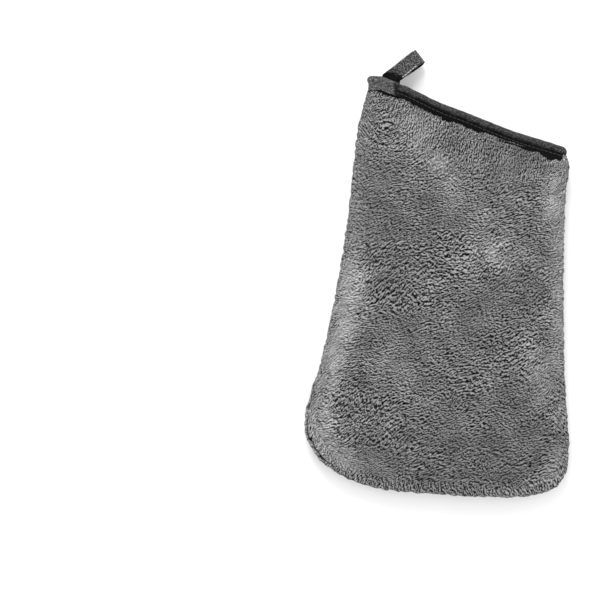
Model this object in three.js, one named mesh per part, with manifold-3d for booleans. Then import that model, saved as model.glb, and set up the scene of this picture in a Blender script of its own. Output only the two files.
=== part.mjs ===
// A plush car wash mitt, lying on its back on a table, in millimetres.
// +X runs across the hand, +Y towards the cuff and +Z up.
// The origin is on the table, under the middle of the mitt.
// Two plush panels are seamed together round the sides and the finger end and turned right side out.
// One tape is folded over the raw edge of the mouth.
// A hanging loop of narrow tape is sewn in beside the left corner.
import * as THREE from "three";
import { mergeVertices } from "three/addons/utils/BufferGeometryUtils.js";
import Module from "manifold-3d";

const wasm = await Module();
wasm.setup();

// Clearance between pieces that touch.
const GAP = 0.3;

// The plush panels: a knit ground with a deep pile on its outer side.
const PANEL = 8;
const SEAM_Z = 11.5;
const RIM_WALL = 0.8;
const EDGE_RADIUS = 9;
const PALM_RISE = 27.5;
const CUFF_RISE = 21;
const PALM_FROM_CUFF = 95;
const SIDE_SLOPE = 50;

// The outline of the mitt, from the left end of the cuff round the finger end to the right end of the cuff.
const SIDE_POINTS = [
  [-48.5, 119.4], [-53, 100], [-56, 72], [-60, 34], [-68, -14], [-77.5, -58], [-87, -88], [-87, -111],
  [-71, -130.5], [-42, -143], [0, -147.6], [48, -149.6], [73, -146], [85, -136], [88.4, -116],
  [85.6, -66], [84.8, 0], [86.4, 52], [87.8, 66], [86, 73.4],
];
const SIDE_STEPS = 48;
const CUFF_STEPS = 14;
const CENTRE = new THREE.Vector2(6, -14);

// The mouth: the straight line between the two ends of the cuff,
// and how far the edge stands out from it on the way.
const CUFF_LEFT = new THREE.Vector2(-46.5, 131);
const CUFF_RIGHT = new THREE.Vector2(86.5, 84.5);
const CUFF_EDGE = [[0, 1.6], [9, 3.8], [20, 3.4], [58, -0.3], [100, -1.6], [141, 0]];
const MOUTH_TURN = 4.5;
const MOUTH_FRONT_RISE = 10.5;
const MOUTH_BACK_DROP = 3.6;
const MOUTH_FRONT_RAMP = 52;
const MOUTH_BACK_RAMP = 26;
const MOUTH_STEPS = 20;
const TURN_STEPS = 8;

// The binding tape, folded over the raw edge. Under it the pile is crushed.
const TAPE = 0.8;
const CRUSHED = 2.4;
const BINDING_DROP = 10.2;
const PILE_STARTS = BINDING_DROP + 0.9;
const CRUSHED_ENDS = PILE_STARTS + 4;
const STITCH_DROP = 8.4;

// The seam allowance, turned in and overlocked.
const ALLOWANCE_FROM = 3;
const ALLOWANCE_TO = 13.6;
const ALLOWANCE = 1.3;
const OVERLOCK = 0.5;
const OVERLOCK_FROM = 10.4;
const THREAD = 0.5;

// The hanging loop: a doubled tape, sewn in aslant, that rests on the table past its bend.
const LOOP_ROOT = 15;
const LOOP_OUT = 2.6;
const LOOP_Z = 11.4;
const LOOP_ANGLE = THREE.MathUtils.degToRad(37);
const LOOP_WIDTH = 10.4;
const LOOP_TAPE = 0.9;
const LOOP_START = 1.8;
const LOOP_LENGTH = 24.4;
const LOOP_HALF_EYE = 3.6;
const LOOP_DROP = 6;
const LOOP_TWIST = THREE.MathUtils.degToRad(-8);
const TAIL_LENGTH = 10.8;
const LOOP_STEPS = 12;

const UP = new THREE.Vector3(0, 0, 1);
const DOWN_MITT = new THREE.Vector3(0, -1, 0);
const flat = CUFF_RIGHT.clone().sub(CUFF_LEFT);
const CUFF_LENGTH = flat.length();
const ALONG_CUFF = new THREE.Vector3(flat.x, flat.y, 0).normalize();
const OUT_OF_CUFF = new THREE.Vector3(-ALONG_CUFF.y, ALONG_CUFF.x, 0);

const COLOURS = { plush: 0x6a6a6a, tape: 0x2f2f30, thread: 0x242424 };
const material = (colour) => new THREE.MeshStandardMaterial({ color: colour, roughness: 0.95, metalness: 0 });
const PLUSH = material(COLOURS.plush);
const WOVEN_TAPE = material(COLOURS.tape);
const SEWING_THREAD = material(COLOURS.thread);

const lerp = THREE.MathUtils.lerp;
const smooth = (x) => THREE.MathUtils.smoothstep(x, 0, 1);
const swell = (x) => Math.sin((Math.PI / 2) * THREE.MathUtils.clamp(x, 0, 1)) ** 2;
const roundUp = (x) => Math.sqrt(1 - (1 - THREE.MathUtils.clamp(x, 0, 1)) ** 2);

// A curve's height at x, easing from each point to the next.
function through(points, x) {
  const last = points.length - 1;
  if (x <= points[0][0]) return points[0][1];
  if (x >= points[last][0]) return points[last][1];
  const i = points.findIndex((p) => p[0] > x);
  const [[x0, y0], [x1, y1]] = [points[i - 1], points[i]];
  return lerp(y0, y1, smooth((x - x0) / (x1 - x0)));
}

// A place near the cuff: how far along it, how far down the mitt from its edge, and how high.
function cuffPlace(along, down, z) {
  return new THREE.Vector3(CUFF_LEFT.x, CUFF_LEFT.y, z)
    .addScaledVector(ALONG_CUFF, along)
    .addScaledVector(OUT_OF_CUFF, through(CUFF_EDGE, along))
    .addScaledVector(DOWN_MITT, down);
}

function geometryOf(vertices, triangles) {
  const geometry = new THREE.BufferGeometry();
  const numbers = vertices.flatMap((v) => v.toArray());
  geometry.setAttribute("position", new THREE.Float32BufferAttribute(numbers, 3));
  geometry.setIndex(triangles);
  return geometry;
}

// A closed body of one section, a counter-clockwise outline in (u, v), carried through a row of frames
// that each hold an origin and the two directions of the section. The frames run along u cross v.
function sweep(frames, section, closed = false) {
  const n = section.length;
  const vertices = frames.flatMap((f) =>
    section.map(([u, v]) => f.origin.clone().addScaledVector(f.u, u).addScaledVector(f.v, v)));
  const triangles = [];
  const spans = closed ? frames.length : frames.length - 1;
  for (let i = 0; i < spans; i++) {
    const [a, b] = [i * n, ((i + 1) % frames.length) * n];
    for (let j = 0; j < n; j++) {
      const k = (j + 1) % n;
      triangles.push(a + j, a + k, b + k, a + j, b + k, b + j);
    }
  }
  if (!closed) {
    const corners = section.map(([u, v]) => new THREE.Vector2(u, v));
    const end = (frames.length - 1) * n;
    for (const [p, q, r] of THREE.ShapeUtils.triangulateShape(corners, []))
      triangles.push(r, q, p, end + p, end + q, end + r);
  }
  return geometryOf(vertices, triangles);
}

const rectangle = (u0, u1, v0, v1) => [[u0, v0], [u1, v0], [u1, v1], [u0, v1]];

function circle(radius, u = 0, v = 0, sides = 6) {
  return Array.from({ length: sides }, (_, i) => {
    const angle = (2 * Math.PI * i) / sides;
    return [u + radius * Math.cos(angle), v + radius * Math.sin(angle)];
  });
}

function solidOf(geometry) {
  const merged = mergeVertices(new THREE.BufferGeometry()
    .setAttribute("position", geometry.getAttribute("position"))
    .setIndex(geometry.index), 1e-4);
  return new wasm.Manifold(new wasm.Mesh({
    numProp: 3,
    vertProperties: merged.attributes.position.array,
    triVerts: new Uint32Array(merged.index.array),
  }));
}

function joined(...geometries) {
  const mesh = geometries.map(solidOf).reduce((a, b) => a.add(b)).getMesh();
  const geometry = new THREE.BufferGeometry();
  geometry.setAttribute("position", new THREE.BufferAttribute(mesh.vertProperties, 3));
  geometry.setIndex(new THREE.BufferAttribute(mesh.triVerts, 1));
  return geometry;
}

// ---- The outline ----

const sideCurve = new THREE.SplineCurve(SIDE_POINTS.map(([x, y]) => new THREE.Vector2(x, y)));
const sides = sideCurve.getSpacedPoints(SIDE_STEPS);

// Where the pile starts below the binding, from the right end of the cuff to the left.
function pileLine() {
  const [from, to] = [sides[SIDE_STEPS], sides[0]];
  const alongOf = (p) => (p.x - CUFF_LEFT.x) / ALONG_CUFF.x;
  return Array.from({ length: CUFF_STEPS - 1 }, (_, i) => {
    const along = lerp(alongOf(from), alongOf(to), (i + 1) / CUFF_STEPS);
    const place = cuffPlace(along, PILE_STARTS, 0);
    return new THREE.Vector2(place.x, place.y);
  });
}

const outline = [...sides, ...pileLine()];

// The distance from a point to the seam, which runs round the sides and the finger end.
function fromSeam(x, y) {
  let best = Infinity;
  for (let i = 0; i < SIDE_STEPS; i++) {
    const [a, b] = [sides[i], sides[i + 1]];
    const [dx, dy] = [b.x - a.x, b.y - a.y];
    const t = THREE.MathUtils.clamp(((x - a.x) * dx + (y - a.y) * dy) / (dx * dx + dy * dy), 0, 1);
    best = Math.min(best, Math.hypot(x - a.x - t * dx, y - a.y - t * dy));
  }
  return best;
}

// The distance down the mitt from the cuff's edge.
function fromCuff(x, y) {
  const along = (x - CUFF_LEFT.x) / ALONG_CUFF.x;
  return cuffPlace(along, 0, 0).y - y;
}

// ---- The panels ----

// How far the front stands above its rim, where nothing crushes it.
function frontHeight(side, cuff) {
  const rise = lerp(CUFF_RISE, PALM_RISE, smooth(cuff / PALM_FROM_CUFF)) - EDGE_RADIUS;
  return EDGE_RADIUS * roundUp(side / EDGE_RADIUS) + rise * swell((side - 2) / SIDE_SLOPE);
}

// How far the outer side of the front stands above the seam. Beside the binding the pile rounds off.
function frontOuter(x, y) {
  const [side, cuff] = [fromSeam(x, y), fromCuff(x, y)];
  const pileEdge = (PANEL - CRUSHED) * (1 - roundUp((cuff - PILE_STARTS) / EDGE_RADIUS));
  const height = frontHeight(side, cuff) - pileEdge * smooth(side / EDGE_RADIUS);
  return GAP / 2 + RIM_WALL + Math.max(0, height);
}

const frontInner = (x, y) =>
  Math.max(GAP / 2, frontHeight(fromSeam(x, y), fromCuff(x, y)) + GAP / 2 + RIM_WALL - PANEL);

// How far the outer side of the back lies below the seam. It is flat where it rests on the table.
function backOuter(x, y) {
  const [side, cuff] = [fromSeam(x, y), fromCuff(x, y)];
  const lift = 1.2 * (1 - roundUp((cuff - PILE_STARTS) / EDGE_RADIUS));
  const shallow = GAP / 2 + RIM_WALL;
  return lerp(shallow, SEAM_Z - lift, roundUp(side / SEAM_Z));
}

const backInner = (x, y) => Math.max(GAP / 2, backOuter(x, y) - PANEL);

// How far in from the outline each ring of a panel lies,
// and how many equal steps share the rest of the way to the centre.
const RIM_RINGS = [0, 0.8, 2.4, 5, 8.6, 12.8, 20, 30];
const INNER_RINGS = 6;

function ringPlaces() {
  const rings = RIM_RINGS.map((inset) => outline.map((p) => {
    const ray = p.clone().sub(CENTRE);
    return CENTRE.clone().addScaledVector(ray, 1 - inset / ray.length());
  }));
  const last = rings[rings.length - 1];
  for (let k = 1; k < INNER_RINGS; k++)
    rings.push(last.map((p) => p.clone().lerp(CENTRE, k / INNER_RINGS)));
  return rings;
}

const rings = ringPlaces();

// A panel between two heights above each place: rings of its upper side, then rings of its lower side.
function panel(upper, lower) {
  const n = outline.length;
  const raised = (height) => (p) => new THREE.Vector3(p.x, p.y, height(p.x, p.y));
  const side = (height) => rings.map((ring) => ring.map(raised(height)));
  const rows = [...side(upper).reverse(), ...side(lower)];
  const vertices = [raised(upper)(CENTRE), ...rows.flat(), raised(lower)(CENTRE)];
  const triangles = [];
  for (let j = 0; j < n; j++) {
    const k = (j + 1) % n;
    triangles.push(0, 1 + j, 1 + k);
    for (let i = 0; i < rows.length - 1; i++) {
      const [a, b] = [1 + i * n, 1 + (i + 1) * n];
      triangles.push(a + j, b + j, b + k, a + j, b + k, a + k);
    }
    const end = 1 + (rows.length - 1) * n;
    triangles.push(end + j, vertices.length - 1, end + k);
  }
  return geometryOf(vertices, triangles);
}

// The turned-in seam allowance of one panel, from one height to another.
function allowance(z0, z1) {
  const frames = seamFrames(0, SIDE_STEPS);
  return sweep(frames, rectangle(ALLOWANCE_FROM, ALLOWANCE_TO, z0, z1));
}

// Frames along the seam: u points into the mitt and v up.
function seamFrames(first, last) {
  return sides.slice(first, last + 1).map((p, k) => {
    const i = k + first;
    const [a, b] = [sides[Math.max(i - 1, 0)], sides[Math.min(i + 1, SIDE_STEPS)]];
    const tangent = b.clone().sub(a).normalize();
    return {
      origin: new THREE.Vector3(p.x, p.y, 0),
      u: new THREE.Vector3(-tangent.y, tangent.x, 0),
      v: UP,
    };
  });
}

// ---- The mouth ----

const FABRIC_HALF = CRUSHED / 2;
const CHANNEL_HALF = FABRIC_HALF + GAP;
const BINDING_HALF = CHANNEL_HALF + TAPE;
const TURN_FROM = MOUTH_TURN + BINDING_HALF;

// Heights of the mouth's front and back edges over the distance along the cuff.
function mouthHeight(along, front) {
  const span = CUFF_LENGTH - 2 * TURN_FROM;
  const share = (along - TURN_FROM) / span;
  const end = Math.min(share, 1 - share) * span;
  const middle = Math.sin(Math.PI * THREE.MathUtils.clamp(share, 0, 1));
  const arch = 0.85 * swell(end / MOUTH_FRONT_RAMP) + 0.15 * middle;
  return front
    ? SEAM_Z + MOUTH_TURN + MOUTH_FRONT_RISE * arch
    : SEAM_Z - MOUTH_TURN - MOUTH_BACK_DROP * smooth(end / MOUTH_BACK_RAMP);
}

// The mouth as a closed row of (along, z) places:
// the front to the right, the right turn, the back, the left turn.
function mouthPlaces() {
  const [left, right] = [TURN_FROM, CUFF_LENGTH - TURN_FROM];
  const edge = (front) => Array.from({ length: MOUTH_STEPS + 1 }, (_, i) => {
    const along = front ? lerp(left, right, i / MOUTH_STEPS) : lerp(right, left, i / MOUTH_STEPS);
    return new THREE.Vector2(along, mouthHeight(along, front));
  });
  const turn = (along, from) => Array.from({ length: TURN_STEPS - 1 }, (_, i) => {
    const angle = from - (Math.PI * (i + 1)) / TURN_STEPS;
    return new THREE.Vector2(along + MOUTH_TURN * Math.cos(angle), SEAM_Z + MOUTH_TURN * Math.sin(angle));
  });
  return [...edge(true), ...turn(right, Math.PI / 2), ...edge(false), ...turn(left, -Math.PI / 2)];
}

// Frames round the mouth: u points out of the fabric's outer side, and v down the mitt.
function mouthFrames() {
  const places = mouthPlaces();
  return places.map((p, i) => {
    const [a, b] = [places[(i + places.length - 1) % places.length], places[(i + 1) % places.length]];
    const tangent = b.clone().sub(a).normalize();
    return {
      origin: cuffPlace(p.x, 0, p.y),
      u: ALONG_CUFF.clone().multiplyScalar(-tangent.y).addScaledVector(UP, tangent.x),
      v: DOWN_MITT,
    };
  });
}

// The frames of the front or the back edge alone, out to the seam at both corners.
function halfMouth(front) {
  const frames = mouthFrames();
  const half = TURN_STEPS / 2;
  const count = MOUTH_STEPS + TURN_STEPS + 1;
  const start = front ? -half : MOUTH_STEPS + half;
  const side = Array.from({ length: count }, (_, i) => frames[(start + i + frames.length) % frames.length]);
  const nudge = UP.clone().multiplyScalar(front ? GAP / 2 : -GAP / 2);
  for (const end of [0, count - 1])
    side[end] = { ...side[end], origin: side[end].origin.clone().add(nudge) };
  return side;
}

// The raw edge of a panel inside the binding, with its pile crushed.
function crushedEdge(front) {
  return sweep(halfMouth(front), rectangle(-FABRIC_HALF, FABRIC_HALF, TAPE + GAP, CRUSHED_ENDS));
}

function frontPanel() {
  const above = (height) => (x, y) => SEAM_Z + height(x, y);
  return joined(
    panel(above(frontOuter), above(frontInner)),
    allowance(SEAM_Z + GAP / 2, SEAM_Z + GAP / 2 + ALLOWANCE),
    crushedEdge(true));
}

function backPanel() {
  const below = (depth) => (x, y) => SEAM_Z - depth(x, y);
  return joined(
    panel(below(backInner), below(backOuter)),
    allowance(SEAM_Z - GAP / 2 - ALLOWANCE, SEAM_Z - GAP / 2),
    crushedEdge(false));
}

// The overlock stitches, as a sleeve over the raw edges of both allowances.
function sideSeamOverlock() {
  const inner = ALLOWANCE + GAP / 2 + GAP;
  const outer = inner + OVERLOCK;
  const edge = ALLOWANCE_TO + GAP;
  const section = [
    [OVERLOCK_FROM, inner], [edge, inner], [edge, -inner], [OVERLOCK_FROM, -inner],
    [OVERLOCK_FROM, -outer], [edge + OVERLOCK, -outer], [edge + OVERLOCK, outer], [OVERLOCK_FROM, outer],
  ].map(([u, v]) => [u, v + SEAM_Z]);
  return sweep(seamFrames(2, SIDE_STEPS - 2), section);
}

function cuffBinding() {
  const fold = 1;
  const section = [
    [BINDING_HALF, fold], [BINDING_HALF, BINDING_DROP], [CHANNEL_HALF, BINDING_DROP], [CHANNEL_HALF, TAPE],
    [-CHANNEL_HALF, TAPE], [-CHANNEL_HALF, BINDING_DROP],
    [-BINDING_HALF, BINDING_DROP], [-BINDING_HALF, fold],
    [fold - BINDING_HALF, 0], [BINDING_HALF - fold, 0],
  ];
  return sweep(mouthFrames(), section, true);
}

// One thread of the row that sews the binding down, on the outer or the inner side.
function bindingThread(side) {
  const off = side * (BINDING_HALF + GAP + THREAD / 2);
  return sweep(mouthFrames(), circle(THREAD / 2, off, STITCH_DROP, 5), true);
}

// ---- The hanging loop ----

const ALONG_LOOP = new THREE.Vector3(Math.cos(LOOP_ANGLE), Math.sin(LOOP_ANGLE), 0);
const ACROSS_LOOP = new THREE.Vector3(ALONG_LOOP.y, -ALONG_LOOP.x, 0);
const SLANT = ALONG_LOOP.dot(OUT_OF_CUFF);
const HINGE = cuffPlace(LOOP_ROOT, 0, LOOP_Z).addScaledVector(OUT_OF_CUFF, LOOP_OUT);

// Half of a tape's width: slanted with the cuff at the root, then square across the tape.
function halfWidth(along) {
  const slanted = ALONG_CUFF.clone().multiplyScalar(LOOP_WIDTH / 2 / SLANT);
  const square = ACROSS_LOOP.clone().multiplyScalar(LOOP_WIDTH / 2);
  const share = smooth(Math.max(0, along - LOOP_START) / 8);
  const twist = LOOP_TWIST * smooth(along / LOOP_LENGTH);
  return slanted.lerp(square, share).applyAxisAngle(ALONG_LOOP, twist);
}

// The middle line of the doubled tape, and half of the eye's height there.
const loopMiddle = (along) => HINGE.clone().addScaledVector(ALONG_LOOP, along)
  .addScaledVector(UP, -LOOP_DROP * smooth((along - LOOP_START) / (LOOP_LENGTH - 8)));
const halfEye = (along) => lerp(GAP / 2, LOOP_HALF_EYE, smooth((along - LOOP_START) / 14));

// The loop's tape as frames from the root of the upper ply round the bend to the root of the lower ply.
// u points out of the eye, and v across the tape.
function loopFrames(offset = 0) {
  const bend = LOOP_HALF_EYE + LOOP_TAPE;
  const straightEnd = LOOP_LENGTH - bend;
  const frame = (along, angle) => {
    const half = halfWidth(along);
    const up = UP.clone().applyAxisAngle(ALONG_LOOP, LOOP_TWIST * smooth(along / LOOP_LENGTH));
    const out = ALONG_LOOP.clone().multiplyScalar(Math.sin(angle)).addScaledVector(up, Math.cos(angle));
    const stand = (angle === 0 || angle === Math.PI ? halfEye(along) : LOOP_HALF_EYE) + offset;
    return {
      origin: loopMiddle(along).addScaledVector(out, stand),
      u: out,
      v: half.divideScalar(LOOP_WIDTH / 2),
    };
  };
  const step = (straightEnd - LOOP_START) / LOOP_STEPS;
  const straight = Array.from({ length: LOOP_STEPS + 1 }, (_, i) => LOOP_START + i * step);
  const turn = Array.from({ length: TURN_STEPS - 1 }, (_, i) => (Math.PI * (i + 1)) / TURN_STEPS);
  return [
    ...straight.map((along) => frame(along, 0)),
    ...turn.map((angle) => frame(straightEnd, angle)),
    ...[...straight].reverse().map((along) => frame(along, Math.PI)),
  ];
}

function hangLoop() {
  return sweep(loopFrames(), rectangle(0, LOOP_TAPE, -LOOP_WIDTH / 2, LOOP_WIDTH / 2));
}

// The row of stitches along the right edge of the upper ply.
function hangLoopThread() {
  const frames = loopFrames().slice(1, LOOP_STEPS);
  return sweep(frames, circle(THREAD / 2, LOOP_TAPE + GAP + THREAD / 2, LOOP_WIDTH / 2 - 2, 6));
}

// An end of the loop's tape, sewn in between the front and the back of the binding.
function tail(side) {
  const frames = [-TAIL_LENGTH, 0].map((out) => ({
    origin: HINGE.clone().addScaledVector(OUT_OF_CUFF, out),
    u: UP,
    v: ALONG_CUFF.clone().divideScalar(SLANT),
  }));
  const [near, far] = [GAP / 2, GAP / 2 + LOOP_TAPE];
  const z = side > 0 ? [near, far] : [-far, -near];
  return sweep(frames, rectangle(...z, -LOOP_WIDTH / 2, LOOP_WIDTH / 2));
}

// ---- The mitt ----

function mesh(name, geometry, finish) {
  const made = new THREE.Mesh(geometry, finish);
  made.name = name;
  return made;
}

const mitt = new THREE.Group();
mitt.add(
  mesh("front_panel", frontPanel(), PLUSH),
  mesh("back_panel", backPanel(), PLUSH),
  mesh("side_seam_overlock", sideSeamOverlock(), SEWING_THREAD),
  mesh("cuff_binding", cuffBinding(), WOVEN_TAPE),
  mesh("binding_needle_thread", bindingThread(1), SEWING_THREAD),
  mesh("binding_bobbin_thread", bindingThread(-1), SEWING_THREAD),
  mesh("hang_loop_upper_tail", tail(1), WOVEN_TAPE),
  mesh("hang_loop_lower_tail", tail(-1), WOVEN_TAPE),
  mesh("hang_loop", hangLoop(), WOVEN_TAPE),
  mesh("hang_loop_edge_thread", hangLoopThread(), SEWING_THREAD),
);

export default mitt;
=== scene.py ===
"""The looks of a plush car wash mitt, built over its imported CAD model.

The CAD works in millimetres, so every length here is in millimetres until a mesh is made.
The mitt lies on its back panel: +X runs across the hand, +Y towards the cuff and +Z up.
"""

import math

import bpy
import numpy as np
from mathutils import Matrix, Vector


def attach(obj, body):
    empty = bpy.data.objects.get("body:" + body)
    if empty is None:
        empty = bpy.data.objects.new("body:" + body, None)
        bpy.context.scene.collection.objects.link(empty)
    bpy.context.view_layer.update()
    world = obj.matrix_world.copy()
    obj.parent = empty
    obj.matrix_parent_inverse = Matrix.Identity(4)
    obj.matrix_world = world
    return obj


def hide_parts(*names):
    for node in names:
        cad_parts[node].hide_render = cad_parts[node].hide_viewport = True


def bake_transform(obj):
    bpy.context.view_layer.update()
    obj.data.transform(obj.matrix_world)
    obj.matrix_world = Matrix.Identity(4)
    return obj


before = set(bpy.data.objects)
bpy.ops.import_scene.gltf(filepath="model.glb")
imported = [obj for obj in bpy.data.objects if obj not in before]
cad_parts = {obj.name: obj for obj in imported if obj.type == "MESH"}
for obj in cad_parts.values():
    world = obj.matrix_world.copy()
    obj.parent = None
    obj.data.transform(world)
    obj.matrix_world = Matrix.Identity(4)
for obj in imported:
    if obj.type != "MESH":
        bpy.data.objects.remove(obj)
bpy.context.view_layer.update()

MM = 0.001
BODY = "mitt"
LOOP_BODY = "loop"


# ---- Sizes, as in the CAD apart from the outline's ends at the cuff and the cuff's rounded left end ----

SEAM_Z = 11.5
PANEL = 8
EDGE_RADIUS = 9
PALM_RISE = 27.5
CUFF_RISE = 21
PALM_FROM_CUFF = 95
SIDE_SLOPE = 50
CENTRE = np.array([6.0, -14.0])

SIDE_POINTS = [
    (-46.5, 122.6), (-52.2, 100), (-56, 72), (-60, 34), (-68, -14), (-77.5, -58), (-87, -88),
    (-87, -111), (-71, -130.5), (-42, -143), (0, -147.6), (48, -149.6), (73, -146), (85, -136),
    (88.4, -116), (85.6, -66), (84.8, 0), (86.2, 52), (88.2, 66), (88.4, 74), (86.8, 79.4),
]
# Where the outline turns from the left side into the finger end, and from there into the right side.
CORNER_POINTS = (8, 13)

CUFF_LEFT = np.array([-46.5, 131.0])
CUFF_RIGHT = np.array([86.5, 84.5])
CUFF_EDGE = [(-1.4, -2.0), (2, 2.0), (9, 3.8), (20, 3.4), (58, -0.3), (100, -1.6), (141, 0)]
CUFF_LENGTH = float(np.linalg.norm(CUFF_RIGHT - CUFF_LEFT))
ALONG_CUFF = np.append((CUFF_RIGHT - CUFF_LEFT) / CUFF_LENGTH, 0)
OUT_OF_CUFF = np.array([-ALONG_CUFF[1], ALONG_CUFF[0], 0])
UP = np.array([0.0, 0.0, 1.0])
DOWN_MITT = np.array([0.0, -1.0, 0.0])

MOUTH_TURN = 4.5
MOUTH_FRONT_RISE = 10.5
MOUTH_BACK_DROP = 3.6
MOUTH_FRONT_RAMP = 52
MOUTH_BACK_RAMP = 26
TAPE_HALF = 2.3
TURN_FROM = MOUTH_TURN + TAPE_HALF

LOOP_ROOT = 15
LOOP_OUT = 2.6
LOOP_Z = 11.4
LOOP_ANGLE = math.radians(37)
LOOP_WIDTH = 10.4
LOOP_TAPE = 0.9
LOOP_START = 1.8
LOOP_LENGTH = 24.4
LOOP_HALF_EYE = 3.6
LOOP_DROP = 6.0
LOOP_TWIST = math.radians(-8)
TAIL_LENGTH = 10.8

# ---- The pile ----

# How far down the binding the pile starts, along the cuff.
PILE_STARTS = [(0, 8.8), (14, 10.2), (35, 12.2), (70, 11.5), (110, 10.6), (128, 9.4), (139, 8.2)]
PILE_EDGE_RADIUS = 5.0
CUFF_DENSITY = 1.15
FINE_RINGS = 148
COARSE_RINGS = 37
RIM_RINGS = 44
RIM_ARC = 31.0
PILE_ANGLE = math.radians(27)
SEAM_ROLL = math.radians(46)
RELIEF = 1.15
LINING_SCALE = 0.988
TABLE_GAP = 0.25
FRONT_SEED = 5
BACK_SEED = 11


# ---- Small maths ----


def smooth(x):
    x = np.clip(x, 0, 1)
    return x * x * (3 - 2 * x)


def swell(x):
    return np.sin(np.pi / 2 * np.clip(x, 0, 1)) ** 2


def round_up(x):
    return np.sqrt(1 - (1 - np.clip(x, 0, 1)) ** 2)


def lerp(a, b, t):
    return a + (b - a) * t


def through(points, x):
    """The height at x of a curve that eases from each point to the next."""
    xs, ys = zip(*points)
    i = np.clip(np.searchsorted(xs, x, side="right") - 1, 0, len(xs) - 2)
    xs, ys = np.array(xs, float), np.array(ys, float)
    t = smooth((x - xs[i]) / (xs[i + 1] - xs[i]))
    return lerp(ys[i], ys[i + 1], t)


def unit(v):
    return v / np.maximum(np.linalg.norm(v, axis=-1, keepdims=True), 1e-9)


def hashed(ix, iy, seed):
    """A repeatable number from 0 to 1 for each whole-number place."""
    mixed = ix.astype(np.int64) * 374761393 + iy.astype(np.int64) * 668265263 + seed * 1442695041
    n = mixed & 0xFFFFFFFF
    n = ((n ^ (n >> 13)) * 1274126177) & 0xFFFFFFFF
    n = (n ^ (n >> 16)) & 0xFFFFFF
    return n / float(0xFFFFFF)


def noise(x, y, seed=0):
    """Smooth gradient noise in two directions, from about -1 to 1."""
    ix, iy = np.floor(x), np.floor(y)
    fx, fy = x - ix, y - iy

    def corner(dx, dy):
        angle = 2 * np.pi * hashed(ix + dx, iy + dy, seed)
        return np.cos(angle) * (fx - dx) + np.sin(angle) * (fy - dy)

    u, v = fx**3 * (fx * (fx * 6 - 15) + 10), fy**3 * (fy * (fy * 6 - 15) + 10)
    low = lerp(corner(0, 0), corner(1, 0), u)
    high = lerp(corner(0, 1), corner(1, 1), u)
    return lerp(low, high, v) * 1.5


def catmull_rom(points, count):
    """Evenly spaced points along a smooth curve, and each given point's share of the curve's length."""
    points = np.array(points, float)
    padded = np.vstack([2 * points[0] - points[1], points, 2 * points[-1] - points[-2]])
    steps = 60
    t = np.linspace(0, 1, steps, endpoint=False)[:, None]
    parts = []
    for i in range(len(points) - 1):
        a, b, c, d = padded[i : i + 4]
        square = (2 * a - 5 * b + 4 * c - d) * t**2
        cube = (3 * b - a - 3 * c + d) * t**3
        parts.append(0.5 * (2 * b + (c - a) * t + square + cube))
    curve = np.vstack([*parts, points[-1:]])
    length = np.concatenate([[0], np.cumsum(np.linalg.norm(np.diff(curve, axis=0), axis=1))])
    at = np.linspace(0, length[-1], count)
    even = np.stack([np.interp(at, length, curve[:, k]) for k in range(2)], axis=1)
    return even, length[::steps] / length[-1]


# ---- The outline and the mouth ----

SIDES, SHARES = catmull_rom(SIDE_POINTS, 1200)
CORNERS = [SHARES[i] for i in CORNER_POINTS]
SIDE_STEPS = np.linalg.norm(np.diff(SIDES, axis=0), axis=1)
SIDE_LENGTH = float(SIDE_STEPS.sum())


def lock_density(y):
    """How closely the pile's locks sit beside the seam. They are larger towards the finger end."""
    return lerp(1.0, 0.75, smooth((-40 - y) / 60))


# The seam's length up to each of its points, measured in locks, so that their size can change along it.
SIDE_RUN = np.cumsum(np.append(0, SIDE_STEPS * lock_density(SIDES[1:, 1])))


def cuff_place(along, down, z=0.0):
    """A place near the cuff: how far along it, how far down the mitt from its edge, and how high."""
    along, down, z = np.broadcast_arrays(np.asarray(along, float), down, z)
    place = np.zeros(along.shape + (3,))
    place[..., :2] = CUFF_LEFT
    place[..., 2] = z
    place += along[..., None] * ALONG_CUFF + through(CUFF_EDGE, along)[..., None] * OUT_OF_CUFF
    return place + down[..., None] * DOWN_MITT


def along_cuff(x):
    return (x - CUFF_LEFT[0]) / ALONG_CUFF[0]


def pile_line(along):
    """The line where the pile starts, at the binding."""
    return cuff_place(along, through(PILE_STARTS, along))[..., :2]


def from_cuff(xy):
    """How far each point lies down the mitt from the cuff's edge."""
    return cuff_place(along_cuff(xy[..., 0]), 0.0)[..., 1] - xy[..., 1]


def below_binding(xy):
    """How far each point lies down the mitt from where the pile starts."""
    return from_cuff(xy) - through(PILE_STARTS, along_cuff(xy[..., 0]))


def from_seam(xy):
    """How far each point lies from the seam, which runs round the sides and the finger end."""
    flat = xy.reshape(-1, 2)
    a = SIDES[:-1:4]
    b = np.vstack([SIDES[4::4], SIDES[-1:]])[: len(a)]
    step = b - a
    best = np.full(len(flat), np.inf)
    for p, s in zip(a, step):
        t = np.clip(((flat - p) @ s) / (s @ s), 0, 1)
        best = np.minimum(best, np.linalg.norm(flat - p - t[:, None] * s, axis=1))
    return best.reshape(xy.shape[:-1])


def mouth_height(along, front):
    span = CUFF_LENGTH - 2 * TURN_FROM
    share = (along - TURN_FROM) / span
    end = np.minimum(share, 1 - share) * span
    arch = 0.85 * swell(end / MOUTH_FRONT_RAMP) + 0.15 * np.sin(np.pi * np.clip(share, 0, 1))
    if front:
        return SEAM_Z + MOUTH_TURN + MOUTH_FRONT_RISE * arch
    return SEAM_Z - MOUTH_TURN - MOUTH_BACK_DROP * smooth(end / MOUTH_BACK_RAMP)


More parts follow.
